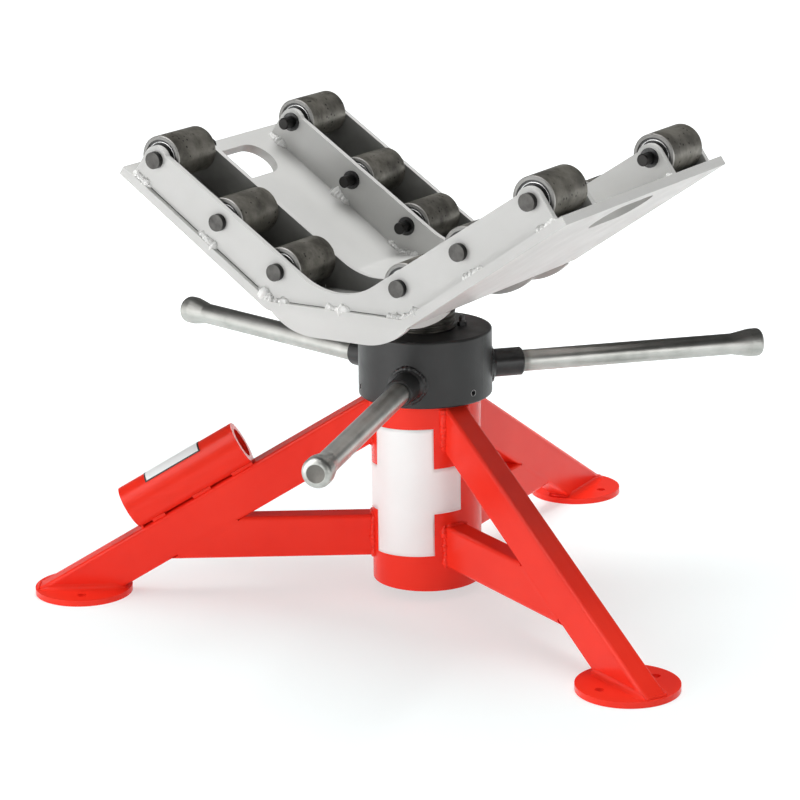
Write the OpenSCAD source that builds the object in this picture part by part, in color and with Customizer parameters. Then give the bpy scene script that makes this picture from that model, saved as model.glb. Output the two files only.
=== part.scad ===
// Pipe roller support: a V-shaped roller head on a lift screw, raised by a hand-turned nut on a tripod base.
// Millimetres. Z is up, the origin is on the column's axis at the floor, and the pipe lies along Y.

/* [Column] */
// Outside diameter of the column pipe
column_od = 114.3; // [113:0.1:124]
// Wall of the column pipe
column_wall = 6; // [4:0.1:8]
// Height of the column's lower rim above the floor
column_z = 11.3; // [8:0.1:20]
// Height of the column's top rim, inside the nut
column_top_z = 236; // [232:0.5:242]
// Height of the groove that the retaining screws run in
groove_z = 222; // [219:0.1:224]
// Width of that groove
groove_w = 9; // [8:0.1:11]
// Depth of that groove
groove_depth = 2.5; // [2:0.1:3]
// Height of the guide bush in the column's mouth
guide_h = 16; // [10:0.5:24]

/* [Legs] */
// Turn of the rear leg about the column
leg_azimuth = 93.33; // [80:0.01:100]
// Slope of the legs
leg_slope = 30; // [29.7:0.1:32]
// Height at which the legs' centre lines meet the column's axis
leg_axis_z = 217.3; // [212:0.1:217.7]
// Depth of the leg and brace tube
tube_depth = 44.45; // [36:0.05:45]
// Width of the leg and brace tube
tube_width = 25.4; // [20:0.1:32]
// Wall of the leg and brace tube
tube_wall = 3; // [2:0.1:4]
// Outside corner radius of the tube
tube_corner = 4; // [3.2:0.1:5]
// Height of the braces' centre line
brace_z = 58.8; // [50:0.1:75]
// How far a foot's centre lies inside the leg's centre line
foot_set = 3.1; // [0:0.1:6]
// Diameter of a foot disc
foot_d = 102; // [95:0.5:120]
// Thickness of a foot disc
foot_t = 6.35; // [5:0.05:10]
// Diameter of a floor bolt hole
foot_hole_d = 9.5; // [7:0.1:11]
// Distance between a foot's two bolt holes
foot_hole_pitch = 65.8; // [60:0.1:72]

/* [Transport collar] */
// Outside diameter of the transport collar
collar_od = 47; // [42:0.1:50]
// Wall of the transport collar
collar_wall = 7.5; // [5:0.05:8]
// Length of the transport collar
collar_len = 137; // [100:0.1:150]
// Distance of the collar's middle along the leg from the column's axis
collar_at = 263.6; // [250:0.1:275]

/* [Adjusting nut] */
// Height of the nut's lower face
nut_z = 210.6; // [210.6:0.1:213]
// Height of the nut's top face
nut_top_z = 280.4; // [272:0.1:282]
// Wall of the nut's skirt around the column
nut_wall = 11.8; // [9:0.1:14]
// Rounding of the nut's edges
nut_round = 2.5; // [1:0.1:4]
// Number of retaining screws
retainer_count = 3; // [2:1:6]
// Diameter of a retaining screw
retainer_d = 6; // [5:0.1:9]
// Depth of a retaining screw's key socket
retainer_key = 4; // [3:0.1:6]
// Thickness of a thrust bearing race
race_t = 3; // [2:0.1:4]
// Gap between the screw and the bore of a race
race_inset = 4; // [3:0.1:6]
// Diameter of a bearing ball
ball_d = 6.35; // [5:0.05:7]
// Number of bearing balls
ball_count = 18; // [8:1:24]
// Thickness of the ball cage
cage_t = 2.4; // [1.6:0.1:3.5]
// Height of the grease fitting
grease_h = 11; // [8:0.1:13]
// Width across the flats of the grease fitting
grease_af = 9; // [7:0.1:9.5]

/* [Handles] */
// Turn of the front handle about the column
handle_azimuth = -73.6; // [-90:0.1:-60]
// Height of the handles' centre line
handle_z = 235.7; // [232:0.1:244]
// Distance of the right handle's end from the column's axis
handle_reach = 369.5; // [300:0.5:420]
// How much further the front handle stands out of its socket
front_out = 11.5; // [0:0.5:12]
// How much further the left handle stands out of its socket
left_out = 9.5; // [0:0.5:12]
// Diameter of a handle rod
handle_d = 22.6; // [18:0.1:24]
// Diameter of the knob at a handle's end
knob_d = 29.8; // [27:0.1:34]
// Length of the knob with its neck
knob_len = 34; // [28:0.5:44]
// Length of the knob at full width, with its round end
knob_body = 14; // [10:0.5:18]
// Rounding of the knob's end
knob_round = 5.6; // [3:0.1:5.8]
// Diameter of the shallow dish in the knob's end
dish_d = 18; // [8:0.1:18.4]
// Depth of that dish
dish_depth = 2; // [0.5:0.1:3]
// Diameter of a handle socket
socket_d = 29.4; // [28:0.1:32]
// Length of a handle socket
socket_len = 34.5; // [30:0.1:50]
// Depth that a rod goes into its socket
socket_depth = 26; // [18:0.5:28]
// Thickness of the weld around a socket's root
socket_weld = 3.5; // [2:0.1:4]

/* [Lift screw] */
// Outside diameter of the lift screw
screw_d = 63.5; // [54:0.1:68]
// Upward travel of the head from where it stands
lift_up = 160; // [100:1:165]
// Diameter of the flange on the screw's top
flange_d = 88.9; // [76:0.1:100]
// Thickness of that flange
flange_t = 15.9; // [10:0.1:18]
// Thickness of the stop washer under the screw
stop_t = 8; // [6:0.1:12]
// Diameter of the stop bolt
stop_bolt_d = 16; // [12:0.1:20]
// Length of the stop bolt's shank in the screw
stop_bolt_len = 30; // [20:0.5:40]

/* [Cradle plate] */
// Height of the plate's flat top face
seat_z = 333.1; // [330:0.1:345]
// Thickness of the plate
plate_t = 9.5; // [8:0.1:12]
// Size of the plate along the pipe
plate_depth = 334; // [327:0.5:360]
// Length of the flat middle between the bends
flat_len = 155.2; // [140:0.1:170]
// Slope of the arms
arm_slope = 34.4; // [32:0.1:38]
// Length of an arm from its bend
arm_len = 212.8; // [208:0.1:240]
// Inside radius of the bends
bend_r = 10; // [5:0.5:20]
// Width of a hand slot along the arm
slot_w = 45; // [36:0.5:50]
// Length of a hand slot across the arm
slot_len = 95; // [80:0.5:130]
// Metal left between a hand slot and the arm's end
slot_edge = 16; // [12:0.5:24]
// Depth of the ribs under the flat middle
rib_h = 22.4; // [16:0.1:26]
// Length of a rib's straight lower edge
rib_flat = 60; // [40:0.5:70]
// Radius of a rib's corners
rib_corner_r = 69; // [40:0.5:72]

/* [Roller rails] */
// Margin of the cradle plate outside the rails
plate_edge = 5.4; // [4:0.1:12]
// Thickness of a side plate
side_t = 6.35; // [5:0.05:7]
// Height of the side plates' valley above the cradle plate
valley_h = 15.7; // [12:0.1:20]
// Radius of the valley
valley_r = 76; // [60:0.5:84]
// How much flatter the side plates' top edge is than the arm
edge_taper = 1.1; // [0.5:0.1:2]
// Radius of a side plate's nose around the top pin
nose_r = 14; // [12:0.1:15]
// Low pin: distance along the arm from the bend
low_along = 11.9; // [9:0.1:16]
// Low pin: height above the arm
low_above = 28.1; // [26:0.1:30]
// Middle pin: distance along the arm from the bend
mid_along = 92.8; // [85:0.1:105]
// Middle pin: height above the arm
mid_above = 25.2; // [24.5:0.1:27]
// Top pin: distance along the arm from the bend
top_along = 187.3; // [178:0.1:192]
// Top pin: height above the arm
top_above = 28.6; // [26:0.1:30]

/* [Rollers and pins] */
// Diameter of a roller
roller_d = 46; // [42:0.1:47]
// Length of a roller
roller_len = 63.5; // [56:0.1:66]
// Gap between a roller and each side plate
roller_gap = 2.2; // [1:0.1:4]
// Chamfer of a roller's rims
roller_chamfer = 1; // [0.4:0.1:2]
// Wall of a roller around its bearings
roller_wall = 4; // [3:0.1:5]
// Width of a bearing
bearing_w = 12; // [8:0.1:14]
// Depth of a bearing's face inside the roller's rim
bearing_sink = 1.2; // [0.5:0.1:3]
// Diameter of an axle pin
pin_d = 12.7; // [10:0.1:14]
// Diameter of a pin's head
pin_head_d = 17.3; // [15:0.1:22]
// Thickness of a pin's head
pin_head_t = 6; // [2:0.1:7]
// Length of the pin beyond the rail's inner face
pin_stub = 16; // [6:0.1:18]
// Outside diameter of a retaining ring
ring_od = 20; // [17:0.1:24]
// Thickness of a retaining ring
ring_t = 1.6; // [1:0.1:2.5]

/* [Hidden] */
$fn = 64;
// Gap between welded or seated pieces with curved faces
seat_gap = 0.1;
// Radial running clearance of a bearing on its pin
run_gap = 0.05;
// Clearance between pieces that pass each other
free_gap = 0.3;
// Far enough to cut right through a piece
through = 600;
column_r = column_od / 2;
column_ir = column_r - column_wall;
leg_angles = [leg_azimuth + 120, leg_azimuth + 240, leg_azimuth];
foot_at = (leg_axis_z - foot_t) / tan(leg_slope) - foot_set;
collar_r = collar_od / 2;
screw_r = screw_d / 2;
skirt_r = column_r + free_gap;
nut_r = skirt_r + nut_wall;
race_ir = screw_r + race_inset;
race_or = column_r - 0.6;
ball_circle = (race_ir + race_or) / 2;
ball_z = column_top_z + race_t + free_gap + ball_d / 2;
race_top_z = ball_z + ball_d / 2 + free_gap;
shoulder_z = race_top_z + race_t;
socket_end = nut_r + socket_len;
rod_start = socket_end - socket_depth;
handle_r = handle_d / 2;
retainer_turn = 60.2;
grease_at = screw_r + free_gap + grease_af * 0.7;
grease_azimuth = handle_azimuth + 110.2;
guide_z = column_top_z - guide_h;
flange_z = seat_z - plate_t - flange_t;
stop_z = guide_z - lift_up - free_gap;
plate_under_z = seat_z - plate_t;
bend_x = flat_len / 2;
bend_set = bend_r * tan(arm_slope / 2);
roller_r = roller_d / 2;
pin_r = pin_d / 2;
rail_gap = roller_len + 2 * roller_gap;
rail_face_y = plate_depth / 2 - plate_edge;
outer_y = rail_face_y - side_t;
rail_y = outer_y - rail_gap - side_t;
edge_slope = arm_slope - edge_taper;
valley_z = seat_z + valley_h;
edge_z = valley_z - valley_r * (1 / cos(edge_slope) - 1);
nose_along = top_along + nose_r;
bearing_r = roller_r - roller_wall;
RED = [0.87, 0.16, 0.11];
GREY = [0.82, 0.82, 0.80];
BLACK = [0.16, 0.16, 0.16];
STEEL = [0.42, 0.40, 0.37];
ZINC = [0.70, 0.70, 0.68];
BRONZE = [0.66, 0.48, 0.26];
RAILS = [["front", -1], ["rear", 1]];
SIDES = [["left", -1], ["right", 1]];
ROWS = [["low", low_along, low_above], ["mid", mid_along, mid_above], ["top", top_along, top_above]];
ROLLER_KEYS = [for (r = RAILS, s = SIDES, w = ROWS) str(r[0], "_", s[0], "_", w[0])];

// A point of the right arm in the XZ plane: along the arm's top face from the bend, and above it
function on_arm(along, above) = [
    bend_x + along * cos(arm_slope) - above * sin(arm_slope),
    seat_z + along * sin(arm_slope) + above * cos(arm_slope)
];

// Height of the side plates' straight top edge at a distance from the middle
function edge_at(x) = edge_z + x * tan(edge_slope);

// Rectangle with round corners, centred
module rounded_rect(w, h, r) {
    square([w - 2 * r, h], center = true);
    square([w, h - 2 * r], center = true);
    for (x = [-1, 1], y = [-1, 1])
        translate([x * (w / 2 - r), y * (h / 2 - r)])
            circle(r);
}

// Flat ring with its lower face at z = 0
module ring(r_out, r_in, h) {
    difference() {
        cylinder(r = r_out, h = h);
        translate([0, 0, -1])
            cylinder(r = r_in, h = h + 2);
    }
}

// Rectangular steel tube along Z, its depth along X
module tube(len) {
    linear_extrude(len)
        difference() {
            rounded_rect(tube_depth, tube_width, tube_corner);
            rounded_rect(tube_depth - 2 * tube_wall, tube_width - 2 * tube_wall, tube_corner - tube_wall);
        }
}

// Carries its children to the leg's slanted frame: Z runs outward down the leg, X points under it
module on_leg() {
    translate([0, 0, leg_axis_z])
        rotate([0, 90 + leg_slope, 0])
            children();
}

// Room that the column takes out of the ends of the legs and braces
module column_cope() {
    translate([0, 0, -1])
        cylinder(r = column_r + seat_gap, h = through);
}

// Slanted leg tube, coped to the column and cut flat on its foot
module leg(azimuth) {
    color(RED)
        rotate([0, 0, azimuth])
            difference() {
                on_leg()
                    tube(through);
                column_cope();
                translate([0, -through / 2, foot_t - through])
                    cube([through, through, through]);
            }
}

// Level brace from the column to the leg's underside
module brace(azimuth) {
    color(RED)
        rotate([0, 0, azimuth])
            difference() {
                translate([0, 0, brace_z])
                    rotate([0, 90, 0])
                        tube(through);
                column_cope();
                on_leg()
                    translate([tube_depth / 2 - through, -through / 2, -through / 2])
                        cube([through, through, 2 * through]);
            }
}

// Round foot disc with two floor bolt holes
module foot(azimuth) {
    color(RED)
        rotate([0, 0, azimuth])
            translate([foot_at, 0, 0])
                difference() {
                    cylinder(d = foot_d, h = foot_t);
                    for (side = [-1, 1])
                        translate([0, side * foot_hole_pitch / 2, -1])
                            cylinder(d = foot_hole_d, h = foot_t + 2);
                }
}

// Column pipe, with the groove that keeps the nut on
module column_tube() {
    color(RED)
        difference() {
            translate([0, 0, column_z])
                ring(column_r, column_ir, column_top_z - column_z);
            translate([0, 0, groove_z - groove_w / 2])
                ring(column_r + 1, column_r - groove_depth, groove_w);
        }
}

// Bush in the column's mouth that guides the screw and stops the washer
module guide_bush() {
    color(BRONZE)
        translate([0, 0, guide_z])
            ring(column_ir - seat_gap, screw_r + free_gap, guide_h);
}

// Short pipe welded along the left leg's top face, for a carrying bar
module transport_collar() {
    color(RED)
        rotate([0, 0, leg_angles[0]])
            on_leg()
                translate([-tube_depth / 2 - collar_r - seat_gap, 0, collar_at - collar_len / 2])
                    ring(collar_r, collar_r - collar_wall, collar_len);
}

// Thrust bearing race on the column's rim
module thrust_race_lower() {
    color(STEEL)
        translate([0, 0, column_top_z])
            ring(race_or, race_ir, race_t);
}

// Thrust bearing race under the nut's shoulder
module thrust_race_upper() {
    color(STEEL)
        translate([0, 0, race_top_z])
            ring(race_or, race_ir, race_t);
}

// Bearing balls in their flat cage
module thrust_balls() {
    color(STEEL) {
        for (i = [0 : ball_count - 1])
            rotate([0, 0, i * 360 / ball_count])
                translate([ball_circle, 0, ball_z])
                    sphere(d = ball_d);
        difference() {
            translate([0, 0, ball_z - cage_t / 2])
                ring(ball_circle + ball_d * 0.85, ball_circle - ball_d * 0.85, cage_t);
            for (i = [0 : ball_count - 1])
                rotate([0, 0, i * 360 / ball_count])
                    translate([ball_circle, 0, ball_z - cage_t])
                        cylinder(r = ball_d / 2 + free_gap, h = 2 * cage_t);
        }
    }
}

// Nut body: a skirt over the column, a shoulder on the bearing and the screw's bore
module adjusting_nut() {
    color(BLACK)
        difference() {
            translate([0, 0, (nut_z + nut_top_z) / 2])
                rotate_extrude()
                    intersection() {
                        rounded_rect(2 * nut_r, nut_top_z - nut_z, nut_round);
                        translate([0, -through / 2])
                            square([through, through]);
                    }
            translate([0, 0, nut_z - 1])
                cylinder(r = screw_r + free_gap, h = through);
            translate([0, 0, nut_z - 1])
                cylinder(r = skirt_r, h = shoulder_z - nut_z + 1);
            at_retainers()
                cylinder(d = retainer_d, h = through);
        }
}

// Carries its children to each retaining screw's axis, Z outward
module at_retainers() {
    for (i = [0 : retainer_count - 1])
        rotate([0, 0, handle_azimuth + retainer_turn + i * 360 / retainer_count])
            translate([0, 0, groove_z])
                rotate([0, 90, 0])
                    children();
}

// Screws through the nut's skirt whose tips run in the column's groove
module retaining_screws() {
    tip_r = column_r - groove_depth + free_gap;
    color(STEEL)
        at_retainers()
            difference() {
                union() {
                    translate([0, 0, skirt_r])
                        cylinder(d = retainer_d - 2 * seat_gap, h = nut_wall - 1);
                    translate([0, 0, tip_r])
                        cylinder(d = retainer_d * 0.7, h = skirt_r - tip_r);
                }
                translate([0, 0, skirt_r + nut_wall - retainer_key])
                    cylinder(d = retainer_d * 0.55, h = retainer_key + 1, $fn = 6);
            }
}

// Grease fitting on the nut's top beside the screw
module grease_fitting() {
    color(ZINC)
        rotate([0, 0, grease_azimuth])
            translate([grease_at, 0, nut_top_z]) {
                cylinder(d = grease_af / cos(30), h = grease_h * 0.4, $fn = 6);
                cylinder(d = grease_af * 0.62, h = grease_h * 0.72);
                translate([0, 0, grease_h * 0.72])
                    cylinder(d1 = grease_af * 0.78, d2 = grease_af * 0.4, h = grease_h * 0.28);
            }
}

// Carries its children to a handle's axis, Z outward
module at_handle(index) {
    rotate([0, 0, handle_azimuth + index * 120])
        translate([0, 0, handle_z])
            rotate([0, 90, 0])
                children();
}

// Socket tubes welded to the nut
module handle_sockets() {
    chamfer = 1.5;
    color(BLACK)
        difference() {
            for (i = [0 : 2])
                at_handle(i) {
                    cylinder(d = socket_d, h = socket_end - chamfer);
                    translate([0, 0, socket_end - chamfer])
                        cylinder(d1 = socket_d, d2 = socket_d - 2 * chamfer, h = chamfer);
                    translate([0, 0, nut_r - socket_weld])
                        cylinder(d1 = socket_d + 4 * socket_weld, d2 = socket_d, h = 2 * socket_weld);
                }
            translate([0, 0, nut_z - 1])
                cylinder(r = nut_r + seat_gap, h = nut_top_z - nut_z + 2);
            for (i = [0 : 2])
                at_handle(i)
                    translate([0, 0, rod_start])
                        cylinder(r = handle_r + seat_gap, h = socket_depth + 1);
        }
}

// Half outline of a handle: the rod, a long flare up to the knob and a round end with a shallow dish
module handle_outline() {
    knob_r = knob_d / 2;
    flare_z = handle_reach - knob_len;
    body_z = handle_reach - knob_body;
    round_z = handle_reach - knob_round;
    dish_r = (pow(dish_d / 2, 2) + pow(dish_depth, 2)) / (2 * dish_depth);
    difference() {
        union() {
            polygon([
                [0, rod_start], [handle_r, rod_start], [handle_r, flare_z], [knob_r, body_z], [knob_r, round_z],
                [knob_r - knob_round, round_z], [knob_r - knob_round, handle_reach], [0, handle_reach]
            ]);
            translate([knob_r - knob_round, round_z])
                circle(knob_round);
        }
        translate([0, handle_reach - dish_depth + dish_r])
            circle(dish_r);
    }
}

// Handle rod with the knob swaged on its end, pushed into its socket by hand
module handle(index, out) {
    color(ZINC)
        at_handle(index)
            translate([0, 0, out])
                rotate_extrude()
                    handle_outline();
}

// Lift screw, drawn at its outside diameter
module lift_screw() {
    color(STEEL)
        difference() {
            translate([0, 0, stop_z])
                cylinder(r = screw_r, h = flange_z - stop_z);
            translate([0, 0, stop_z - 1])
                cylinder(d = stop_bolt_d + 2 * seat_gap, h = stop_bolt_len + 1);
        }
}

// Washer on the screw's lower end, which slides in the column and stops under the guide bush
module stop_washer() {
    color(STEEL)
        translate([0, 0, stop_z - stop_t])
            ring(column_ir - free_gap, stop_bolt_d / 2 + seat_gap, stop_t);
}

// Bolt that holds the stop washer
module stop_bolt() {
    head_t = stop_bolt_d * 0.6;
    color(STEEL)
        translate([0, 0, stop_z - stop_t]) {
            cylinder(d = stop_bolt_d, h = stop_t + stop_bolt_len - 1);
            translate([0, 0, -head_t])
                cylinder(d = stop_bolt_d * 1.73, h = head_t, $fn = 6);
        }
}

// Round flange between the screw and the cradle plate
module screw_flange() {
    chamfer = 1.5;
    color(GREY)
        translate([0, 0, flange_z]) {
            cylinder(d1 = flange_d - 2 * chamfer, d2 = flange_d, h = chamfer);
            translate([0, 0, chamfer])
                cylinder(d = flange_d, h = flange_t - chamfer);
        }
}

// Bent plate's section: flat middle, two round bends and two sloping arms
module plate_section() {
    flat_x = bend_x - bend_set;
    translate([-flat_x, plate_under_z])
        square([2 * flat_x, plate_t]);
    for (side = [0, 1])
        mirror([side, 0]) {
            translate([flat_x, seat_z + bend_r])
                intersection() {
                    difference() {
                        circle(bend_r + plate_t);
                        circle(bend_r);
                    }
                    polygon([[0, 0], [0, -through], [through * tan(arm_slope), -through]]);
                }
            polygon([
                on_arm(bend_set, 0), on_arm(bend_set, -plate_t),
                on_arm(arm_len, -plate_t), on_arm(arm_len, 0)
            ]);
        }
}

// Stands a section of the XZ plane up across Y, from y to y + t
module across(y, t) {
    translate([0, y + t, 0])
        rotate([90, 0, 0])
            linear_extrude(t)
                children();
}

// Bent cradle plate with a hand slot in each arm
module cradle_plate() {
    slot_r = slot_w / 2;
    slot_mid = arm_len - slot_edge - slot_r;
    color(GREY)
        difference() {
            across(-plate_depth / 2, plate_depth)
                plate_section();
            for (side = [0, 1])
                mirror([side, 0, 0])
                    translate([bend_x, 0, seat_z])
                        rotate([0, -arm_slope, 0])
                            translate([slot_mid, 0, -2 * plate_t]) {
                                translate([-slot_r, slot_r - slot_len / 2, 0])
                                    cube([slot_w, slot_len - slot_w, 4 * plate_t]);
                                for (end = [-1, 1])
                                    translate([0, end * (slot_len / 2 - slot_r), 0])
                                        cylinder(r = slot_r, h = 4 * plate_t);
                            }
        }
}

// Rib outline: a straight lower edge with large round corners
module rib_section() {
    half = rib_flat / 2 + sqrt(pow(rib_corner_r, 2) - pow(rib_corner_r - rib_h, 2));
    translate([0, plate_under_z - rib_h])
        intersection() {
            translate([-half, 0])
                square([2 * half, rib_h]);
            union() {
                translate([-rib_flat / 2, 0])
                    square([rib_flat, rib_h]);
                for (side = [-1, 1])
                    translate([side * rib_flat / 2, rib_corner_r])
                        circle(rib_corner_r);
            }
        }
}

// Two ribs under the plate, one below each side plate of a rail
module ribs(side) {
    color(GREY)
        for (y = [rail_y, outer_y])
            across(side > 0 ? y : -y - side_t, side_t)
                rib_section();
}

// Side plate outline: straight arms, round noses at the top pins and a round valley in the middle
module side_section() {
    tangent_x = valley_r * sin(edge_slope);
    nose = on_arm(top_along, top_above);
    difference() {
        union()
            for (side = [0, 1])
                mirror([side, 0]) {
                    polygon([
                        [0, seat_z], [bend_x, seat_z], on_arm(nose_along, 0), on_arm(nose_along, top_above),
                        nose, [nose[0], edge_at(nose[0])], [tangent_x, edge_at(tangent_x)],
                        [0, edge_at(tangent_x)]
                    ]);
                    translate(nose)
                        circle(nose_r);
                }
        translate([0, valley_z + valley_r])
            circle(valley_r);
        plate_section();
        for (side = [0, 1], row = ROWS)
            mirror([side, 0])
                translate(on_arm(row[1], row[2]))
                    circle(pin_r + seat_gap);
    }
}

// One side plate of a rail
module side_plate(y) {
    color(GREY)
        across(y, side_t)
            side_section();
}

// Carries its children to every pin's axis, Z from the rail's outer face towards the middle
module at_pins() {
    for (rail = RAILS, side = SIDES, row = ROWS)
        at_pin(rail[1], side[1], row)
            children();
}

// Carries its children to one pin's axis, Z from the rail's outer face towards the middle
module at_pin(rail, side, row) {
    spot = on_arm(row[1], row[2]);
    translate([side * spot[0], rail * rail_face_y, spot[1]])
        rotate([rail * 90, 0, 0])
            children();
}

// Headed axle pins through both side plates of a rail
module axle_pins() {
    chamfer = 1;
    shank = rail_face_y - rail_y + pin_stub;
    color(STEEL)
        at_pins() {
            translate([0, 0, -pin_head_t])
                cylinder(d = pin_head_d, h = pin_head_t);
            cylinder(r = pin_r, h = shank - chamfer);
            translate([0, 0, shank - chamfer])
                cylinder(r1 = pin_r, r2 = pin_r - chamfer, h = chamfer);
        }
}

// Retaining rings on the pins at each rail's inner face
module retaining_rings() {
    color(BLACK)
        at_pins()
            translate([0, 0, rail_face_y - rail_y])
                ring(ring_od / 2, pin_r + run_gap, ring_t);
}

// Roller tube: turned rims, a bearing seat at each end and a clear middle
module roller(rail, side, row) {
    seat = bearing_sink + bearing_w;
    color(STEEL)
        at_pin(rail, side, row)
            translate([0, 0, side_t + roller_gap])
                difference() {
                    union() {
                        cylinder(r1 = roller_r - roller_chamfer, r2 = roller_r, h = roller_chamfer);
                        translate([0, 0, roller_chamfer])
                            cylinder(r = roller_r, h = roller_len - 2 * roller_chamfer);
                        translate([0, 0, roller_len - roller_chamfer])
                            cylinder(r1 = roller_r, r2 = roller_r - roller_chamfer, h = roller_chamfer);
                    }
                    translate([0, 0, -1])
                        cylinder(r = bearing_r - 2, h = roller_len + 2);
                    for (z = [-1, roller_len - seat])
                        translate([0, 0, z])
                            cylinder(r = bearing_r, h = seat + 1);
                }
}

// The two shielded bearings of a roller
module bearings(rail, side, row) {
    shield = 0.8;
    color(BLACK)
        at_pin(rail, side, row)
            for (z = [bearing_sink, roller_len - bearing_sink - bearing_w])
                translate([0, 0, side_t + roller_gap + z])
                    difference() {
                        ring(bearing_r - seat_gap, pin_r + run_gap, bearing_w);
                        for (face = [-1, bearing_w - shield])
                            translate([0, 0, face])
                                ring(bearing_r - 3, pin_r + 2.2, shield + 1);
                    }
}

column_tube();
guide_bush();
leg(leg_angles[0]);  // leg_left
leg(leg_angles[1]);  // leg_right
leg(leg_angles[2]);  // leg_rear
brace(leg_angles[0]);  // brace_left
brace(leg_angles[1]);  // brace_right
brace(leg_angles[2]);  // brace_rear
foot(leg_angles[0]);  // foot_left
foot(leg_angles[1]);  // foot_right
foot(leg_angles[2]);  // foot_rear
transport_collar();
thrust_race_lower();
thrust_race_upper();
thrust_balls();
adjusting_nut();
retaining_screws();
grease_fitting();
handle_sockets();
handle(0, front_out);  // handle_front
handle(1, 0);  // handle_right
handle(2, left_out);  // handle_left
lift_screw();
stop_washer();
stop_bolt();
screw_flange();
cradle_plate();
ribs(-1);  // front_ribs
ribs(1);  // rear_ribs
side_plate(-rail_face_y);  // front_outer_plate
side_plate(-rail_y - side_t);  // front_inner_plate
side_plate(rail_y);  // rear_inner_plate
side_plate(outer_y);  // rear_outer_plate
axle_pins();
retaining_rings();
for (rail = RAILS, side = SIDES, row = ROWS) {
    key = str(rail[0], "_", side[0], "_", row[0]);
    roller(rail[1], side[1], row);
    bearings(rail[1], side[1], row);
}
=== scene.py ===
import bpy
import numpy as np
from mathutils import Matrix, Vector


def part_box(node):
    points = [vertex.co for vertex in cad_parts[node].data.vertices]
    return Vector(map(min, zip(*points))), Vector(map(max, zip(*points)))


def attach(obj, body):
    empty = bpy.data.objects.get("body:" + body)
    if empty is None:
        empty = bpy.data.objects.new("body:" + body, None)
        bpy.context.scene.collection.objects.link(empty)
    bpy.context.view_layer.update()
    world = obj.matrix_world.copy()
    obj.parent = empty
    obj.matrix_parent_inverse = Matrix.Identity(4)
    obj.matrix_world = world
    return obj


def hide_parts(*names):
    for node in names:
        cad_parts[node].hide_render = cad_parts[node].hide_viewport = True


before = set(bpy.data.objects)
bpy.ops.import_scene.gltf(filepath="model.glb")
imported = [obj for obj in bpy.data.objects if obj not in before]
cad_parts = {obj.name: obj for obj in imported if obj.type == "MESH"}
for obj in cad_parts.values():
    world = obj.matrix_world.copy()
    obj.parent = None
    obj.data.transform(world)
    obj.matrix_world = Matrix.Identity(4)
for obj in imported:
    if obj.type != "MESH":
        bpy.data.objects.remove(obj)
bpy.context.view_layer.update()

# Studio: a wide white floor under a large soft lamp, low grey walls all round and a dark ceiling, with
# soft low lamps at the front and both sides and a high one that shows in reflections only. The camera
# stands at the front right, a little above the rollers.
CAMERA_RIGHT = (0.84681, 0.53172, -0.01365)
CAMERA_UP = (-0.13282, 0.23624, 0.96257)
CAMERA_BACK = (0.51505, -0.8133, 0.27067)
CAMERA_PLACE = (1.5149, -2.4419, 1.0098)
LENS_MM, SENSOR_MM = 129.4, 36.0
LAMP_AIM = (0.0, 0.0, 0.2)
WALL_TONES = ((0.0, 0.46), (0.16, 0.38), (0.30, 0.14), (0.50, 0.09))
WALL_GLOW = 0.79


def standing(side, over, back, place):
    """Matrix of a camera or lamp, from its three directions and its place."""
    return Matrix([[side[i], over[i], back[i], place[i]] for i in range(3)] + [[0, 0, 0, 1]])


lens = bpy.data.cameras.new("camera")
lens.lens = LENS_MM
lens.sensor_width = SENSOR_MM
camera = bpy.data.objects.new("camera", lens)
camera.matrix_world = standing(CAMERA_RIGHT, CAMERA_UP, CAMERA_BACK, CAMERA_PLACE)
bpy.context.collection.objects.link(camera)
bpy.context.scene.camera = camera
bpy.context.scene.view_settings.view_transform = "Standard"

sky = bpy.data.worlds.new("studio")
sky.use_nodes = True
bpy.context.scene.world = sky
links = sky.node_tree.links
glow = sky.node_tree.nodes["Background"]
where = sky.node_tree.nodes.new("ShaderNodeTexCoord")
height = sky.node_tree.nodes.new("ShaderNodeSeparateXYZ")
shade = sky.node_tree.nodes.new("ShaderNodeValToRGB")
for place, tone in WALL_TONES:
    band = shade.color_ramp.elements.new(place)
    band.color = (tone, tone, tone, 1)
shade.color_ramp.elements.remove(shade.color_ramp.elements[-1])
shade.color_ramp.elements.remove(shade.color_ramp.elements[0])
links.new(where.outputs["Generated"], height.inputs[0])
links.new(height.outputs["Z"], shade.inputs["Fac"])
links.new(shade.outputs["Color"], glow.inputs["Color"])
glow.inputs["Strength"].default_value = WALL_GLOW


def soft_lamp(name, place, size, power, mirrored=True, lighting=True):
    """A square lamp at place, turned to the object. A lamp that isn't mirrored lights the pieces but leaves
    no reflection of itself in them, and one that isn't lighting shows as a reflection only."""
    lamp = bpy.data.lights.new(name, "AREA")
    lamp.size = size
    lamp.energy = power
    holder = bpy.data.objects.new(name, lamp)
    holder.visible_glossy = mirrored
    holder.visible_diffuse = lighting
    back = np.subtract(place, LAMP_AIM)
    back /= np.linalg.norm(back)
    side = np.cross((0, 0, 1), back)
    side /= np.linalg.norm(side)
    holder.matrix_world = standing(side, np.cross(back, side), back, place)
    bpy.context.collection.objects.link(holder)


soft_lamp("key", (-0.05, 0.5, 2.9), size=1.9, power=84, mirrored=False)
soft_lamp("front", (-1.1, -2.7, 0.45), size=1.8, power=47)
soft_lamp("left", (-2.3, -1.2, 0.75), size=1.5, power=7.5)
soft_lamp("right", (2.3, -1.0, 0.5), size=0.8, power=6.2)
soft_lamp("sheen", (-0.75, -1.6, 2.1), size=1.7, power=36, lighting=False)


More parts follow.
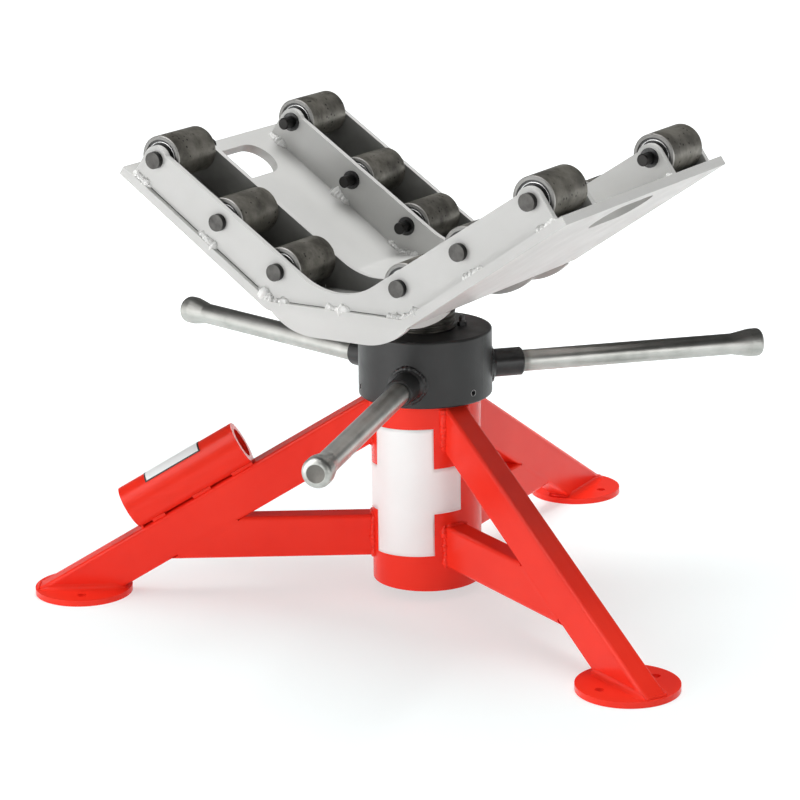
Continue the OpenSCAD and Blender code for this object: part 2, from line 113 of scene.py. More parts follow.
def surface(points, wrap_u=False, wrap_v=False, caps=False):
    """Quads over a grid of points: neighbours along both directions are joined, a wrapped direction
    closes on itself, and caps close the first and last rows with one face each."""
    rows, columns = points.shape[:2]
    index = np.arange(rows * columns).reshape(rows, columns)
    ends = np.stack([index[0][::-1], index[-1]]) if caps else index[:0]
    if wrap_u:
        index = np.vstack([index, index[:1]])
    if wrap_v:
        index = np.hstack([index, index[:, :1]])
    corners = (index[:-1, :-1], index[1:, :-1], index[1:, 1:], index[:-1, 1:])
    return points.reshape(-1, 3), np.stack(corners, axis=-1).reshape(-1, 4), ends


def piece(name, *surfaces):
    """One smooth object at the origin from surfaces in millimetres, each of points, quads and end faces.
    The faces of each surface are counted on from the points before it."""
    points, faces, start = [], [], 0
    for spots, quads, ends in surfaces:
        points.append(spots)
        faces += (quads + start).tolist() + (ends + start).tolist()
        start += len(spots)
    mesh = bpy.data.meshes.new(name)
    mesh.from_pydata((np.vstack(points) * 0.001).tolist(), [], faces)
    mesh.polygons.foreach_set("use_smooth", np.full(len(mesh.polygons), True))
    made = bpy.data.objects.new(name, mesh)
    bpy.context.collection.objects.link(made)
    return made


FLOOR_HALF, FLOOR_LINES = 12000, 25
reach = np.linspace(-FLOOR_HALF, FLOOR_HALF, FLOOR_LINES)
ground = np.stack(np.meshgrid(reach, reach, [0.0], indexing="ij"), axis=-1)
floor = piece("floor", surface(ground.reshape(FLOOR_LINES, FLOOR_LINES, 3)))


class Finish:
    """A new material and its shader. node() adds a node and give() feeds the shader; each other call adds
    a common kind of node and returns what it puts out. Patterns lie on the piece's own coordinates."""

    def __init__(self, name, roughness=0.5, metallic=0.0):
        self.material = bpy.data.materials.new(name)
        self.material.use_nodes = True
        self.tree = self.material.node_tree
        self.shader = self.tree.nodes["Principled BSDF"]
        self.where = self.node("TexCoord").outputs
        self.spot = self.where["Object"]
        self.give("Roughness", roughness)
        self.give("Metallic", metallic)

    def fill(self, target, value):
        """Links an input to another node's output, or sets it to a number or colour."""
        if isinstance(value, bpy.types.NodeSocket):
            self.tree.links.new(value, target)
        else:
            target.default_value = value

    def node(self, kind, values=None, **settings):
        """One node with its settings, and with each input named in values filled."""
        made = self.tree.nodes.new("ShaderNode" + kind)
        for key, value in settings.items():
            setattr(made, key, value)
        for key, value in (values or {}).items():
            self.fill(made.inputs[key], value)
        return made

    def give(self, name, value):
        """Fills one input of the shader."""
        self.fill(self.shader.inputs[name], value)

    def noise(self, scale, detail=2.0, roughness=0.5, spot=None):
        """Cloudy pattern of about 0.3 to 0.7."""
        values = {"Scale": scale, "Detail": detail, "Roughness": roughness}
        values["Vector"] = self.spot if spot is None else spot
        return self.node("TexNoise", values).outputs["Fac"]

    def fade(self, value, start, stop, low=0.0, high=1.0, **settings):
        """low where value is at start, high where it is at stop and a ramp between, held beyond both."""
        values = {"Value": value, "From Min": start, "From Max": stop, "To Min": low, "To Max": high}
        return self.node("MapRange", values, **settings).outputs["Result"]

    def fade_mm(self, value, start, stop, low=0.0, high=1.0):
        """The same for a place on the piece, with start and stop in millimetres."""
        return self.fade(value, start / 1000, stop / 1000, low, high)

    def number(self, operation, *values, **settings):
        """One sum of outputs or numbers, by the operation's name."""
        return self.node("Math", dict(enumerate(values)), operation=operation, **settings).outputs[0]

    def product(self, first, *others):
        """All values multiplied."""
        for other in others:
            first = self.number("MULTIPLY", first, other)
        return first

    def length(self, x, y):
        """Square root of x squared plus y squared."""
        flat = self.node("CombineXYZ", {"X": x, "Y": y}).outputs[0]
        return self.node("VectorMath", {0: flat}, operation="LENGTH").outputs["Value"]

    def mix(self, factor, first, second, **settings):
        """The first colour where factor is 0 and the second where it is 1."""
        values = {0: factor, 6: first, 7: second}
        return self.node("Mix", values, data_type="RGBA", **settings).outputs[2]

    def ramp(self, factor, *stops):
        """Colours between stops of position and colour, read at factor."""
        made = self.node("ValToRGB", {"Fac": factor})
        bands = made.color_ramp.elements
        while len(bands) < len(stops):
            bands.new(0.5)
        for band, (position, colour) in zip(bands, stops):
            band.position = position
            band.color = (*colour, 1)
        return made.outputs["Color"]

    def mottle(self, pattern, dark, light, rough=None, span=(0.3, 0.7)):
        """Colours the shader from dark to light over a span of the pattern, and where rough is given takes
        its roughness from the pattern too."""
        self.give("Base Color", self.ramp(pattern, (span[0], dark), (span[1], light)))
        if rough:
            self.give("Roughness", self.fade(pattern, 0.0, 1.0, *rough))

    def emboss(self, height, strength, depth):
        """Shades the surface as if a pattern stood out of it by depth, in metres."""
        bump = self.node("Bump", {"Strength": strength, "Distance": depth, "Height": height})
        self.give("Normal", bump.outputs["Normal"])


def grey(value):
    """A colour with as much red and green as blue."""
    return (value, value, value)


FLOOR_GLOW = 0.25
FLOOR_NEAR, FLOOR_FAR = 0.45, 1.3
FLOOR_NEAR_GLOW, FLOOR_FAR_GLOW = 0.57, 1.04
pale = Finish("pale_floor", roughness=0.9)
paper = pale.ramp(pale.noise(0.6), (0.3, grey(0.86)), (0.7, grey(0.90)))
rays = pale.node("LightPath").outputs
seen = pale.number("ADD", rays["Is Camera Ray"], rays["Is Glossy Ray"])
seen = pale.number("ADD", seen, rays["Is Transmission Ray"], use_clamp=True)
pale.give("Base Color", pale.mix(seen, paper, (0.46, 0.515, 0.515, 1)))
pale.give("Specular IOR Level", 0.0)
away = pale.node("VectorMath", {0: pale.spot}, operation="LENGTH").outputs["Value"]
lit = pale.fade(away, FLOOR_NEAR, FLOOR_FAR, FLOOR_NEAR_GLOW - FLOOR_GLOW, FLOOR_FAR_GLOW - FLOOR_GLOW,
                interpolation_type="SMOOTHSTEP")
pale.give("Emission Strength", pale.number("MULTIPLY_ADD", lit, seen, FLOOR_GLOW))
pale.give("Emission Color", (1, 1, 1, 1))
floor.data.materials.append(pale.material)

# Column, legs, braces and feet: steel pipe, rectangular tube and round plates, welded into one
# tripod and coated with glossy red enamel that flows a little at the edges.
red = Finish("red_enamel")
red.mottle(red.noise(9.0, 3.0, 0.55), (0.90, 0.029, 0.014), (0.96, 0.039, 0.019), span=(0.32, 0.68))
red.give("Roughness", red.fade(red.noise(16.0), 0.3, 0.7, 0.23, 0.26))
red.emboss(red.noise(240.0, 1.0, 0.4), strength=0.04, depth=0.0006)
red.give("Specular IOR Level", 0.26)
red.give("IOR", 1.42)


def coat(finish, *names):
    """Puts a finish on solids of the model."""
    for name in names:
        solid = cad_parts[name]
        solid.data.materials.clear()
        solid.data.materials.append(finish.material)


coat(red, "column_tube", "leg_left", "leg_right", "leg_rear", "brace_left", "brace_right", "brace_rear",
     "foot_left", "foot_right", "foot_rear", "transport_collar")

# Welds of the tripod: fillets laid along the ends of each leg and brace, round each foot's joint and,
# in short runs, along both sides of the transport collar, all under the same red enamel.
UPWARD = np.array([0.0, 0.0, 1.0])
COLUMN_R = 57.15
LEFT_LEG, RIGHT_LEG, REAR_LEG = np.radians([213.33, 333.33, 93.33])
SLOPE = np.radians(30.0)
LEG_Z = 217.3
TUBE_HALF_DEPTH, TUBE_HALF_WIDTH = 22.225, 12.7
BRACE_LOW, BRACE_HIGH = 36.6, 81.0
BRACE_SEAM = (241.0, 315.0)
SEAM_OUT = np.array([11.0, 12.60, 12.74, 12.76, 12.74, 12.60, 11.0])
SEAM_UP = np.array([4.6, 5.4, 3.4, 1.4, -0.6, -2.6, -1.8])
FOOT_TOP = 6.35
FOOT_JOINT = (318.0, 408.0)
FOOT_HEEL, FOOT_TOE = 320.0, 409.0
FILLET = 5.0
CORNER_BEAD, LOWER_BEAD, BRACE_BEAD, TOE_BEAD, HEEL_BEAD = 3.6, 2.8, 2.6, 2.0, 3.0
FILL_OUT = np.array([5.0, 9.0, 13.0, 12.3, 11.7, 11.2, 10.9, 9.0, 5.0])
FILL_UP = np.array([0.3, 1.7, 4.0, 2.4, 1.1, 0.2, -0.5, -0.8, -0.5])
FILL_RUNS = ((195.6, 220.7), (246.4, 268.1), (302.2, 317.5), (329.0, 331.6))


def bead(path, lean, radius, seed, puddle=3.0, rough=0.14):
    """Weld bead: rings of points around a path resampled to even steps. Each ring's radius swells about
    once per puddle, is shaken by smoothed random runs and closes to a small tip at both ends. lean points
    out of the corner, and the ring lies in the plane of lean and its cross product with the path."""
    step, round_points = 0.8, 14
    path = np.asarray(path, float)
    lean = np.broadcast_to(np.asarray(lean, float), path.shape)
    run = np.concatenate([[0], np.cumsum(np.linalg.norm(np.diff(path, axis=0), axis=1))])
    count = max(12, int(run[-1] / step))
    s = np.linspace(0, run[-1], count)
    centre = np.stack([np.interp(s, run, path[:, i]) for i in range(3)], axis=1)
    out = np.stack([np.interp(s, run, lean[:, i]) for i in range(3)], axis=1)
    along = np.gradient(centre, axis=0)
    along /= np.linalg.norm(along, axis=1, keepdims=True)
    out -= along * np.sum(out * along, axis=1, keepdims=True)
    out /= np.linalg.norm(out, axis=1, keepdims=True)
    side = np.cross(out, along)
    dice = np.random.default_rng(seed)
    shake, sway, stray = [
        np.convolve(dice.normal(0, 1, count + taps - 1), np.ones(taps) / share, mode="valid")
        for taps, share in ((9, 3), (17, 4), (25, 5))]
    pace = s / puddle + 0.4 * stray
    swell = 1 + rough * (np.abs(np.sin(np.pi * pace)) - 0.5) + 0.6 * rough * shake
    close = np.sqrt(np.clip(np.minimum(s, run[-1] - s) / radius, 0.02, 1))
    size = (radius * swell * close)[:, None, None]
    centre = centre + side * (0.10 * radius * sway * close)[:, None]
    turn = np.linspace(0, 2 * np.pi, round_points, endpoint=False)[None, :, None]
    ring = centre[:, None] + size * (np.cos(turn) * out[:, None] + np.sin(turn) * side[:, None])
    return surface(ring, wrap_v=True, caps=True)


def flooded_fillet(path, wall, out, size):
    """Weld flooded with paint: a hollow quarter round carried along a path, with its own size at each
    point. The section starts behind the corner, climbs the wall by size, sweeps down a quarter circle and
    ends on the ground, size away."""
    sweep = np.radians(np.linspace(0, 90, 9))
    size = size.reshape(-1, 1)
    behind = np.full_like(size, -0.5)
    along_out = np.hstack([behind, behind, size * (1 - np.cos(sweep)), size, behind])
    along_wall = np.hstack([behind, size, size * (1 - np.sin(sweep)), behind, behind])
    web = path[:, None] + along_out[..., None] * out + along_wall[..., None] * wall
    return surface(web, wrap_v=True, caps=True)


def outward(azimuth):
    """Level directions at a turn round the column: away from it, and to the left of that."""
    away = np.array([np.cos(azimuth), np.sin(azimuth), 0.0])
    return away, np.cross(UPWARD, away)


def leg_slope(azimuth):
    """Directions of a leg: down along its slope and out of its top face."""
    away = outward(azimuth)[0]
    along = np.cos(SLOPE) * away - np.sin(SLOPE) * UPWARD
    above = np.sin(SLOPE) * away + np.cos(SLOPE) * UPWARD
    return along, above


def strip(azimuth, start, stop, side, lateral, height):
    """A section of lateral and height from a leg's centre line, carried along the leg and shut a little at
    its ends. side is 1 on the leg's left and -1 on its right."""
    left = outward(azimuth)[1]
    along, above = leg_slope(azimuth)
    s = np.array([start, start + 0.6, stop - 0.6, stop])[:, None, None]
    shut = np.array([0.97, 1.0, 1.0, 0.97])[:, None, None]
    middle = lateral.mean()
    web = (LEG_Z * UPWARD + s * along + (middle + shut * (lateral - middle)[None, :, None]) * side * left
           + height[None, :, None] * above)
    return surface(web[:, ::-side], wrap_v=True, caps=True)


def leg_welds(azimuth, seed):
    """Welds of one leg, its brace and its foot: upright beads where the tubes' sides meet the column, arcs
    along their level edges, fillets beside the foot's joint and beads across its toe and heel."""
    away, left = outward(azimuth)
    above = leg_slope(azimuth)[1]
    reach = np.sqrt(COLUMN_R ** 2 - TUBE_HALF_WIDTH ** 2)
    middle = LEG_Z - reach * np.tan(SLOPE)
    rise = TUBE_HALF_DEPTH / np.cos(SLOPE)
    corners = ((middle - rise + 1, middle + rise - 1.5, seed), (BRACE_LOW - 1, BRACE_HIGH + 1, seed + 10))
    beads = []
    for side in (-1, 1):
        edge = reach * away + side * TUBE_HALF_WIDTH * left
        lean = edge / COLUMN_R + side * left
        for low, high, first in corners:
            z = np.linspace(low, high, 12)[:, None]
            beads.append(bead(edge + z * UPWARD, lean, CORNER_BEAD, first + side, puddle=5.0, rough=0.28))
        r = np.linspace(*FOOT_JOINT, 48)[::side, None]
        size = np.clip(np.minimum(r - FOOT_JOINT[0] + 1, FOOT_JOINT[1] + 1.5 - r) / 2, 0.3, FILLET)
        foot = r * away + side * TUBE_HALF_WIDTH * left + FOOT_TOP * UPWARD
        beads.append(flooded_fillet(foot, UPWARD, side * left, size))
        beads.append(strip(azimuth, *BRACE_SEAM, side, SEAM_OUT, SEAM_UP - TUBE_HALF_DEPTH))
    across = np.linspace(-TUBE_HALF_WIDTH + 2, TUBE_HALF_WIDTH - 2, 12)[:, None]
    curve = np.sqrt(COLUMN_R ** 2 - across ** 2)
    arc = curve * away + across * left
    ring = arc / COLUMN_R
    for z, lean in ((BRACE_HIGH, UPWARD), (BRACE_LOW, -UPWARD)):
        beads.append(bead(arc + z * UPWARD, ring + lean, BRACE_BEAD, seed + 40 + int(z)))
    under = LEG_Z - curve * np.tan(SLOPE) - rise
    beads.append(bead(arc + under * UPWARD, ring - above, LOWER_BEAD, seed + 51))
    width = np.linspace(-TUBE_HALF_WIDTH + 1, TUBE_HALF_WIDTH - 1, 10)[:, None] * left
    toe = FOOT_TOE * away + width + FOOT_TOP * UPWARD
    heel = FOOT_HEEL * away + width + FOOT_TOP * UPWARD
    beads.append(bead(toe, away + UPWARD, TOE_BEAD, seed + 53, rough=0.06))
    beads.append(bead(heel, UPWARD - away, HEEL_BEAD, seed + 54, rough=0.06))
    return beads


welds = leg_welds(LEFT_LEG, 100) + leg_welds(RIGHT_LEG, 200) + leg_welds(REAR_LEG, 300)
for side in (-1, 1):
    for start, stop in FILL_RUNS:
        welds.append(strip(LEFT_LEG, start, stop, side, FILL_OUT, TUBE_HALF_DEPTH + FILL_UP))
tripod_welds = piece("tripod_welds", *welds)
tripod_welds.data.materials.append(red.material)
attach(tripod_welds, "base")

# Stickers: a blank white vinyl sheet wrapped on the column's front and a blank white strip with a thin
# dark border over the transport collar, both smooth and a little glossy.
STICKER_PROUD = 0.12
STICKER_THICK = 0.00016
LABEL_TURNS = (-150.5, -121.0, -50.5, -20.5)
LABEL_LEVELS = (48.0, 93.0, 141.5, 184.5)
LABEL_MIDDLE, LABEL_TILT = -85.5, 3.0
vinyl = Finish("white_vinyl", roughness=0.32)
vinyl.mottle(vinyl.noise(22.0, 3.0), (0.93, 0.95, 0.945), (0.97, 0.99, 0.985))
vinyl.emboss(vinyl.noise(60.0, 1.0), strength=0.08, depth=0.001)


def in_steps(stops, counts):
    """Even steps from each stop to the next, with every stop in once."""
    spans = [np.linspace(low, high, count)[1:] for low, high, count in zip(stops, stops[1:], counts)]
    return np.concatenate([stops[:1], *spans])


def between(grid, low, high):
    """Which cells of a grid of values have their middle between low and high."""
    middle = (grid[:-1, :-1] + grid[1:, 1:]) / 2
    return (middle > low) & (middle < high)


# The label is a cross: the column's surface by angle and level, less the cells at its four corners.
turn = np.radians(in_steps(LABEL_TURNS, (13, 29, 13)))
angle, level = np.meshgrid(turn, in_steps(LABEL_LEVELS, (10, 11, 10)), indexing="ij")
tilt = LABEL_TILT * (angle - np.radians(LABEL_MIDDLE))
label_r = COLUMN_R + STICKER_PROUD
sheet = np.stack([label_r * np.cos(angle), label_r * np.sin(angle), level + tilt], axis=-1)
spots, quads, ends = surface(sheet)
kept = between(angle, *np.radians(LABEL_TURNS[1:3])) | between(level, *LABEL_LEVELS[1:3])
column_label = piece("column_label", (spots, quads[kept.reshape(-1)], ends))
column_label.modifiers.new("thickness", "SOLIDIFY").thickness = STICKER_THICK
column_label.data.materials.append(vinyl.material)
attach(column_label, "base")

COLLAR_R, COLLAR_GAP = 23.5, 0.1
STRIP_SPAN, STRIP_BEND = (234.1, 300.7), (-36, 40)
STRIP_GRID = (34, 26)
BORDER_FROM = {"X": 0.472, "Y": 0.445}
bordered = Finish("bordered_vinyl", roughness=0.35)
place = bordered.node("SeparateXYZ", {0: bordered.where["UV"]}).outputs
edges = []
for axis, start in BORDER_FROM.items():
    off_middle = bordered.number("ABSOLUTE", bordered.number("SUBTRACT", place[axis], 0.5))
    edges.append(bordered.number("GREATER_THAN", off_middle, start))
border = bordered.number("MAXIMUM", *edges)
bordered.mottle(border, (0.94, 0.95, 0.945), (0.012, 0.010, 0.010), span=(0.4, 0.6))
along, above = leg_slope(LEFT_LEG)
span = np.linspace(*STRIP_SPAN, STRIP_GRID[0])[:, None, None]
bend = np.radians(np.linspace(*STRIP_BEND, STRIP_GRID[1]))[None, :, None]
hub = LEG_Z * UPWARD + (TUBE_HALF_DEPTH + COLLAR_GAP + COLLAR_R) * above
arch = np.cos(bend) * above + np.sin(bend) * np.cross(above, along)
sheet = hub + span * along + (COLLAR_R + STICKER_PROUD) * arch
collar_strip = piece("collar_strip", surface(sheet[:, ::-1]))
u, v = np.meshgrid(*[np.linspace(0, 1, count) for count in STRIP_GRID], indexing="ij")
flat = np.stack([u, v], axis=-1).reshape(-1, 2)
corner = np.empty(len(collar_strip.data.loops), dtype=np.int32)
collar_strip.data.loops.foreach_get("vertex_index", corner)
collar_strip.data.uv_layers.new(name="UVMap").data.foreach_set("uv", flat[corner].reshape(-1))
collar_strip.modifiers.new("thickness", "SOLIDIFY").thickness = STICKER_THICK
collar_strip.data.materials.append(bordered.material)
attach(collar_strip, "base")

# Thrust bearing and guide: hardened ground races with balls in a cage between the column's rim and the
# nut, and a turned bronze bush in the column's mouth.
ground_steel = Finish("ground_steel", metallic=1.0)
ground_steel.mottle(ground_steel.noise(160.0, 4.0), (0.36, 0.35, 0.34), (0.52, 0.51, 0.50),
                    rough=(0.22, 0.42))
coat(ground_steel, "thrust_race_lower", "thrust_race_upper", "thrust_balls")
bronze = Finish("turned_bronze", metallic=1.0)
rings = bronze.node("TexWave", {"Vector": bronze.spot, "Scale": 260.0, "Distortion": 1.5},
                    bands_direction="Z")
bronze.mottle(rings.outputs["Fac"], (0.50, 0.33, 0.15), (0.66, 0.47, 0.24), rough=(0.25, 0.4),
              span=(0.2, 0.8))
coat(bronze, "guide_bush")

# Nut and sockets: a turned steel nut whose skirt runs on the column, with three short socket tubes
# welded round it for the handles, painted black, satin on the nut and glossier on the sockets.
black = Finish("satin_black")
black.mottle(black.noise(14.0, 4.0), grey(0.012), grey(0.020))
black.give("Roughness", black.fade(black.noise(45.0, 5.0, 0.65), 0.3, 0.7, 0.36, 0.48))
black.emboss(black.noise(600.0), strength=0.16, depth=0.0005)
coat(black, "adjusting_nut")

NUT_R = 69.25
SOCKET_R, SOCKET_BEAD = 17.3, 2.6
SOCKET_WELD = (0.3, 0.3 + 2.1 * np.pi)
HANDLE_Z = 235.7
HANDLE_TURNS = np.radians([-73.6, 46.4, 166.4])
welds = []
for order, azimuth in enumerate(HANDLE_TURNS):
    away, left = outward(azimuth)
    turn = np.linspace(*SOCKET_WELD, 60)[:, None]
    across, tall = SOCKET_R * np.cos(turn), SOCKET_R * np.sin(turn)
    seam = np.sqrt(NUT_R ** 2 - across ** 2) * away + across * left + (HANDLE_Z + tall) * UPWARD
    lean = np.cos(turn) * left + np.sin(turn) * UPWARD + away
    welds.append(bead(seam, lean, SOCKET_BEAD, 500 + order, puddle=4.2, rough=0.22))
socket_welds = piece("socket_welds", *welds)
gloss_black = Finish("gloss_black", roughness=0.34)
gloss_black.mottle(gloss_black.noise(120.0, 3.0), grey(0.010), grey(0.022))
socket_welds.data.materials.append(gloss_black.material)
coat(gloss_black, "handle_sockets")
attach(socket_welds, "nut")

# Retaining screws, rings and grease fitting: small bought parts, blackened socket screws in the nut's
# skirt, blackened rings on the axle pins and a plated fitting on the nut's top. A bright ring round
# each screw's hole is a painted highlight, standing for the light caught on the hole's chamfered edge.
dark_steel = Finish("blackened_steel", metallic=1.0)
dark_steel.mottle(dark_steel.noise(240.0, 4.0), grey(0.03), grey(0.08), rough=(0.3, 0.5))
coat(dark_steel, "retaining_screws", "retaining_rings")
plated = Finish("plated_fitting", metallic=1.0)
plated.mottle(plated.noise(260.0, 3.0), grey(0.10), grey(0.19), rough=(0.25, 0.4))
coat(plated, "grease_fitting")

SCREW_Z, SCREW_TURNS = 222.0, np.radians(-13.4 + np.array([0.0, 120.0, 240.0]))
RIM_R, RIM_HALF_WIDTH, RIM_PROUD = 3.2, 0.34, 0.25
# Painted highlight: a thin bright ring standing proud round each screw's hole.
rim_glint = Finish("painted_rim_glint", metallic=0.6)
rim_glint.mottle(rim_glint.noise(700.0), grey(0.22), grey(0.42), rough=(0.3, 0.5))
hoop = np.linspace(0, 2 * np.pi, 40, endpoint=False)[:, None]
thick = np.linspace(0, 2 * np.pi, 10, endpoint=False)[None, :]
rims = []
for azimuth in SCREW_TURNS:
    away, left = outward(azimuth)
    size = RIM_R + RIM_HALF_WIDTH * np.cos(thick)
    across, tall = size * np.cos(hoop), size * np.sin(hoop)
    out = np.sqrt(NUT_R ** 2 - across ** 2) + RIM_PROUD * np.sin(thick)
    rim = out[..., None] * away + across[..., None] * left + (SCREW_Z + tall)[..., None] * UPWARD
    rims.append(surface(rim, wrap_u=True, wrap_v=True))
screw_rims = piece("screw_rims", *rims)
screw_rims.data.materials.append(rim_glint.material)
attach(screw_rims, "nut")

# Handles: plated steel rods pushed into the sockets, with a swaged knob at the free end. The plate is
# drawn along the rod, dull beside the right socket and grainy on the knobs.
SOCKET_END = NUT_R + 34.5
HANDLE_REACH = 369.5
DULL_FROM, DULL_TO = 4.0, 8.0
KNOB_FROM, KNOB_FULL = 34.0, 14.0
DISH_R, DISH_RIM, DISH_DEPTH = 8.6, 9.2, 3.5
DRAWN = (6.0, 130.0, 130.0)
HANDLES = (("front", 11.5, 0.0), ("right", 0.0, 1.0), ("left", 9.5, 0.0))
for azimuth, (name, pulled, dullness) in zip(HANDLE_TURNS, HANDLES):
    start, tip = SOCKET_END + pulled, HANDLE_REACH + pulled
    zinc = Finish("zinc_plate_" + name, metallic=1.0)
    turned = zinc.node("Mapping", {"Vector": zinc.spot, "Rotation": (0, 0, -azimuth)}).outputs[0]
    drawn = zinc.node("Mapping", {"Vector": turned, "Scale": DRAWN}).outputs[0]
    streak = zinc.noise(1.0, 5.0, 0.6, spot=drawn)
    mixed = zinc.product(zinc.number("ADD", streak, zinc.noise(36.0, 4.0)), 0.5)
    plate = zinc.ramp(mixed, (0.34, (0.32, 0.32, 0.30)), (0.5, (0.49, 0.49, 0.465)),
                      (0.66, (0.61, 0.605, 0.58)))
    place = zinc.node("SeparateXYZ", {0: turned}).outputs
    off_axis = zinc.length(place["Y"], zinc.number("SUBTRACT", place["Z"], HANDLE_Z / 1000))
    near = zinc.fade_mm(off_axis, DISH_R, DISH_RIM, 1.0, 0.0)
    dish = zinc.product(near, zinc.fade_mm(place["X"], tip - DISH_DEPTH, tip - DISH_DEPTH + 0.5))
    knob = zinc.fade_mm(place["X"], tip - KNOB_FROM, tip - KNOB_FULL)
    dull = zinc.fade_mm(place["X"], start + DULL_FROM, start + DULL_TO, dullness, 0.0)
    tint = zinc.mix(dull, plate, (0.34, 0.34, 0.32, 1))
    zinc.give("Base Color", zinc.mix(dish, tint, (0.21, 0.20, 0.185, 1)))
    rough = zinc.fade(streak, 0.3, 0.7, 0.30, 0.46)
    for mask, extra in ((dull, 0.2), (knob, 0.06), (dish, 0.25)):
        rough = zinc.number("MULTIPLY_ADD", mask, extra, rough)
    zinc.give("Roughness", rough)
    grain = zinc.product(zinc.noise(340.0, 3.0), knob)
    zinc.emboss(zinc.number("MULTIPLY_ADD", grain, 1.6, streak), strength=0.14, depth=0.0006)
    coat(zinc, "handle_" + name)

# Lift screw: turned steel with a coarse right-hand trapezoid thread, dark with grease. The bolt and
# washer on its lower end stay inside the column.
LIFT_R, PITCH, THREAD_DEPTH = 31.75, 5.08, 2.4
CREST, FLANK = 0.32, 0.36
screw_low, screw_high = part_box("lift_screw")
level = np.arange(screw_low[2] * 1000, screw_high[2] * 1000, PITCH / 10)[:, None]
turn = np.linspace(0, 2 * np.pi, 72, endpoint=False)[None, :]
# The radius falls from the crest to the root as the level runs ahead of the turn, once in each pitch.
wave = np.abs(((level / PITCH - turn / (2 * np.pi)) % 1.0) - 0.5) * 2
radius = LIFT_R - THREAD_DEPTH * np.clip((wave - CREST) / FLANK, 0, 1)
thread = np.stack([radius * np.cos(turn), radius * np.sin(turn), level + 0 * turn], axis=-1)
lift_thread = piece("lift_thread", surface(thread[:, ::-1], wrap_v=True, caps=True))
greased = Finish("greased_steel", metallic=0.8)
greased.mottle(greased.noise(90.0, 4.0), (0.042, 0.041, 0.035), (0.13, 0.125, 0.108), rough=(0.25, 0.5))
lift_thread.data.materials.append(greased.material)
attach(lift_thread, "head")
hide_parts("lift_screw")
coat(greased, "stop_washer", "stop_bolt")

# Cradle, ribs and side plates: one bent plate with a hand slot in each arm, four V-shaped side plates
# on top and ribs below, flame cut, tack welded and coated with satin light grey enamel. Painted shade
# darkens the channels under the rollers and the walls of the hand slots.
SEAT_Z, FLAT_HALF = 333.1, 77.6
ARM = np.radians(34.4)
CHANNEL_NEAR, CHANNEL_FAR = 87.35, 155.25
CHANNEL_SHADE_ENDS, CHANNEL_SHADE_THINS = (202.0, 188.0), (5.0, 50.0)
SLOT_MID, SLOT_R, SLOT_STRAIGHT = 174.3, 22.5, 25.0
SLOT_STARTS = (100.0, 101.0)
light_grey = Finish("light_grey_enamel")
sums, fade_mm, product = light_grey.number, light_grey.fade_mm, light_grey.product
coated = light_grey.ramp(light_grey.noise(7.0, 4.0, 0.6), (0.3, (0.575, 0.575, 0.56)),
                         (0.7, (0.64, 0.64, 0.625)))
place = light_grey.node("SeparateXYZ", {0: light_grey.spot}).outputs
past_bend = sums("SUBTRACT", sums("ABSOLUTE", place["X"]), FLAT_HALF / 1000)
over_seat = sums("SUBTRACT", place["Z"], SEAT_Z / 1000)
up_arm = sums("ADD", product(past_bend, np.cos(ARM)), product(over_seat, np.sin(ARM)))
over_arm = sums("SUBTRACT", product(over_seat, np.cos(ARM)), product(past_bend, np.sin(ARM)))
over_plate = sums("MINIMUM", over_seat, over_arm)
across = sums("ABSOLUTE", place["Y"])
# Painted shade: the enamel is darkened in the roller channels, most near the plate and less up the side
# plates, standing for the shade that the rollers and plates cast there.
channel = product(fade_mm(across, CHANNEL_NEAR - 0.5, CHANNEL_NEAR - 0.2),
                  fade_mm(across, CHANNEL_FAR + 0.5, CHANNEL_FAR + 0.2),
                  fade_mm(over_plate, -3.0, -2.0),
                  fade_mm(up_arm, *CHANNEL_SHADE_ENDS))
shade_fade_up = sums("SUBTRACT", 1.0, product(0.25, fade_mm(over_plate, *CHANNEL_SHADE_THINS)))
channel_shade = product(channel, shade_fade_up, sums("ADD", 0.5, light_grey.noise(26.0, 3.0)))
shaded_coat = light_grey.mix(channel_shade, coated, (0.24, 0.24, 0.23, 1))
# Painted shade: the walls of the hand slots are drawn a darker grey.
past_straight = sums("MAXIMUM", sums("SUBTRACT", across, SLOT_STRAIGHT / 1000), 0.0)
from_slot = light_grey.length(past_straight, sums("SUBTRACT", up_arm, SLOT_MID / 1000))
slot_wall_shade = product(fade_mm(from_slot, SLOT_R + 0.6, SLOT_R + 0.2), fade_mm(up_arm, *SLOT_STARTS))
light_grey.give("Base Color", light_grey.mix(slot_wall_shade, shaded_coat, (0.405, 0.405, 0.39, 1)))
light_grey.give("Roughness", light_grey.fade(light_grey.noise(35.0, 4.0), 0.3, 0.7, 0.30, 0.46))
light_grey.emboss(light_grey.noise(380.0), strength=0.10, depth=0.0006)
coat(light_grey, "cradle_plate", "screw_flange", "front_ribs", "rear_ribs", "front_outer_plate",
     "front_inner_plate", "rear_inner_plate", "rear_outer_plate")

# Welds of the head: short lumpy fillets along each side plate's foot, at the tip, middle and bend of
# both arms and at the valley, drawn much lighter than the plates as painted glints. Between them on
# the outer plates a thin dark line is painted as the shade in the joint.
OUTER_FACE, INNER_FACE = 161.6, 81.0
VALLEY_RUN = (-15.0, 15.0)
ARM_RUNS = ((57.0, 97.6), (157.6, 184.6), (254.6, 280.5))
JOINT_SHADE_RUNS = ((-254.6, -184.6), (-157.6, -97.6), (-57.0, -15.0), (15.0, 57.0))
HEAD_BEAD, JOINT_LINE = 4.3, 0.42


def plate_top(w):
    """The cradle's upper face at a signed distance from the middle: level as far as the bend, then up
    the arm. Gives the points with y = 0 and the normals."""
    beyond = np.clip(np.abs(w) - FLAT_HALF, 0, None)
    x = np.sign(w) * (np.minimum(np.abs(w), FLAT_HALF) + beyond * np.cos(ARM))
    z = SEAT_Z + beyond * np.sin(ARM)
    lean = np.where(beyond > 0, ARM, 0.0)
    zero = np.zeros_like(w)
    normals = np.stack([-np.sign(w) * np.sin(lean), zero, np.cos(lean)], axis=1)
    return np.stack([x, zero, z], axis=1), normals


